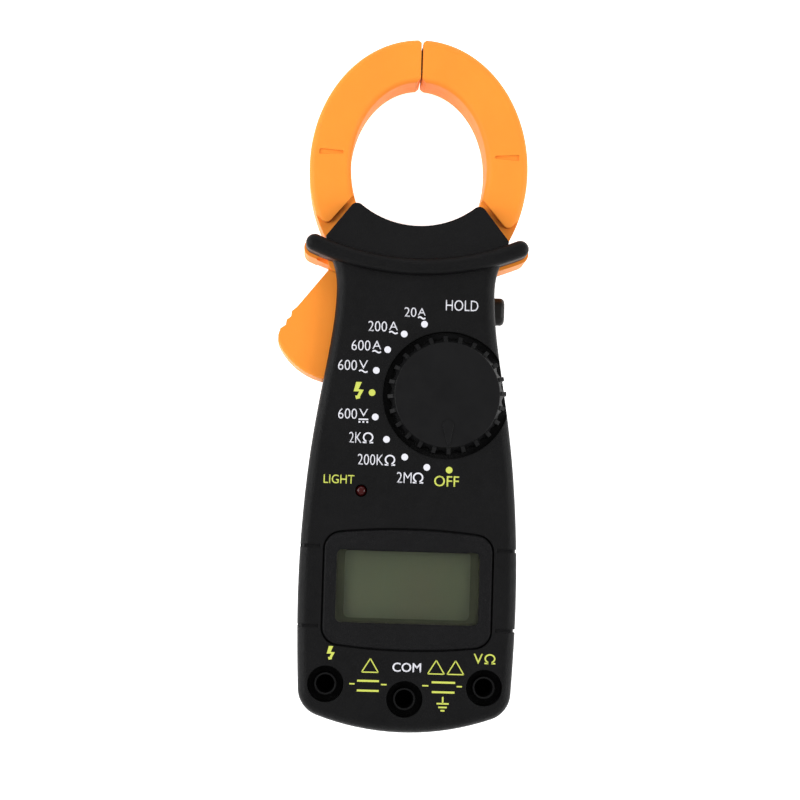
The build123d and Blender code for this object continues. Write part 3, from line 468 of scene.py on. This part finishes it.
# painted shadow: a dark ring just behind the window's edges, standing in for the shade the bezel casts on
# the display
shadow_ring_bm = bmesh.new()
outer, inner = (
    [shadow_ring_bm.verts.new((x * MM, y * MM, SHADOW_RING_Z * MM)) for x, y in rounded(*edge)]
    for edge in ((-18.3, 18.3, -33.0, -13.8, 0.3), (-15.7, 15.5, -31.2, -14.3, 1.4)))
for i in range(len(outer)):
    j = (i + 1) % len(outer)
    shadow_ring_bm.faces.new((outer[i], outer[j], inner[j], inner[i]))
mesh_piece("lcd_painted_shadow", shadow_ring_bm, LOOKS["film_dark"])

# plain marks between the sockets
lines = []
for x0, x1 in ((-13.7, -12.4), (-5.9, -4.5), (4.3, 5.8), (12.8, 14.1)):
    lines.append(stroke([(x0, DASH_Y), (x1, DASH_Y)], DASH_LINE))
for x, half, y in ((-9.1, 2.7, -46.6), (-9.1, 2.7, -49.0), (9.5, 2.9, -46.5), (9.5, 2.8, -48.9)):
    lines.append(stroke([(x - half, y), (x + half, y)], BAR_LINE))
lines.append(stroke([(EARTH_X, -50.0), (EARTH_X, -51.6)], EARTH_LINE))
for half, y in ((1.5, -51.7), (1.05, -52.6), (0.5, -53.4)):
    lines.append(stroke([(EARTH_X - half, y), (EARTH_X + half, y)], EARTH_LINE))
marks("socket_lines", lines, INK_YELLOW)
sides = []
for x in (-8.7, 7.6, 12.4):
    corners = [(x - 2.05, -44.45), (x + 2.05, -44.45), (x, -41.1)]
    for i in range(3):
        sides.append(stroke([corners[i], corners[(i + 1) % 3]], TRIANGLE_LINE))
marks("socket_triangles", sides, INK_YELLOW)

# --------------------------------------------------------------------- stage
FLOOR_HALF = 3.0
FLOOR_GAP = 0.0002
FLOOR_GLOW = 0.82
WORLD_LIGHT = 0.42
# name, place and target in metres, size in metres, watts
LIGHTS = (
    ("key_left", (-0.80, 0.35, 0.75), (0, 0.03, 0), (0.5, 0.5), 3.7),
    ("key_right", (0.85, 0.10, 0.70), (0, 0.03, 0), (0.5, 0.5), 2.4),
    ("side_left", (-0.82, 0.0, 0.50), (0, 0.03, 0), (0.3, 0.9), 4.6),
    ("side_right", (0.84, -0.05, 0.48), (0, 0.03, 0), (0.3, 0.9), 3.2),
    ("low_front", (-0.05, -0.88, 0.58), (0, 0, 0), (0.9, 0.3), 2.4),
    ("top_back", (0.1, 0.85, 0.62), (0, 0.05, 0), (0.9, 0.3), 2.0),
)

floor_mesh = bpy.data.meshes.new("floor")
floor_bm = bmesh.new()
bmesh.ops.create_grid(floor_bm, x_segments=1, y_segments=1, size=FLOOR_HALF)
floor_bm.to_mesh(floor_mesh)
floor_bm.free()
floor = bpy.data.objects.new("floor", floor_mesh)
floor.location = (0, 0, cad_box[0].z - FLOOR_GAP)
bpy.context.scene.collection.objects.link(floor)
paper, _, paper_bsdf = new_material("paper")
paper_bsdf.inputs["Base Color"].default_value = (0.9, 0.9, 0.9, 1)
paper_bsdf.inputs["Roughness"].default_value = 0.9
paper_bsdf.inputs["Emission Color"].default_value = (1, 1, 1, 1)
paper_bsdf.inputs["Emission Strength"].default_value = FLOOR_GLOW
floor_mesh.materials.append(paper)


def area_light(name, location, target, size, power):
    data = bpy.data.lights.new(name, "AREA")
    data.shape = "RECTANGLE"
    data.size, data.size_y = size
    data.energy = power
    obj = bpy.data.objects.new(name, data)
    obj.location = location
    obj.rotation_mode = "QUATERNION"
    obj.rotation_quaternion = (Vector(target) - Vector(location)).to_track_quat("-Z", "Y")
    bpy.context.scene.collection.objects.link(obj)


for light in LIGHTS:
    area_light(*light)

world = bpy.data.worlds.new("studio")
world.use_nodes = True
world.node_tree.nodes["Background"].inputs["Color"].default_value = (1, 1, 1, 1)
world.node_tree.nodes["Background"].inputs["Strength"].default_value = WORLD_LIGHT
bpy.context.scene.world = world
bpy.context.scene.view_settings.view_transform = "Standard"

# -------------------------------------------------------------------- camera
CAMERA_PLACE = (-0.02409, -0.01575, 0.59981)
CAMERA_TURN_DEG = (3.790, -2.188, 1.682)
CAMERA_LENS = 104.4

cam_data = bpy.data.cameras.new("camera")
cam_data.sensor_width = 36.0
cam_data.lens = CAMERA_LENS
cam_data.clip_start = 0.02
cam_data.clip_end = 20.0
camera = bpy.data.objects.new("camera", cam_data)
camera.location = CAMERA_PLACE
camera.rotation_euler = Euler([math.radians(a) for a in CAMERA_TURN_DEG], "XYZ")
bpy.context.scene.collection.objects.link(camera)
bpy.context.scene.camera = camera
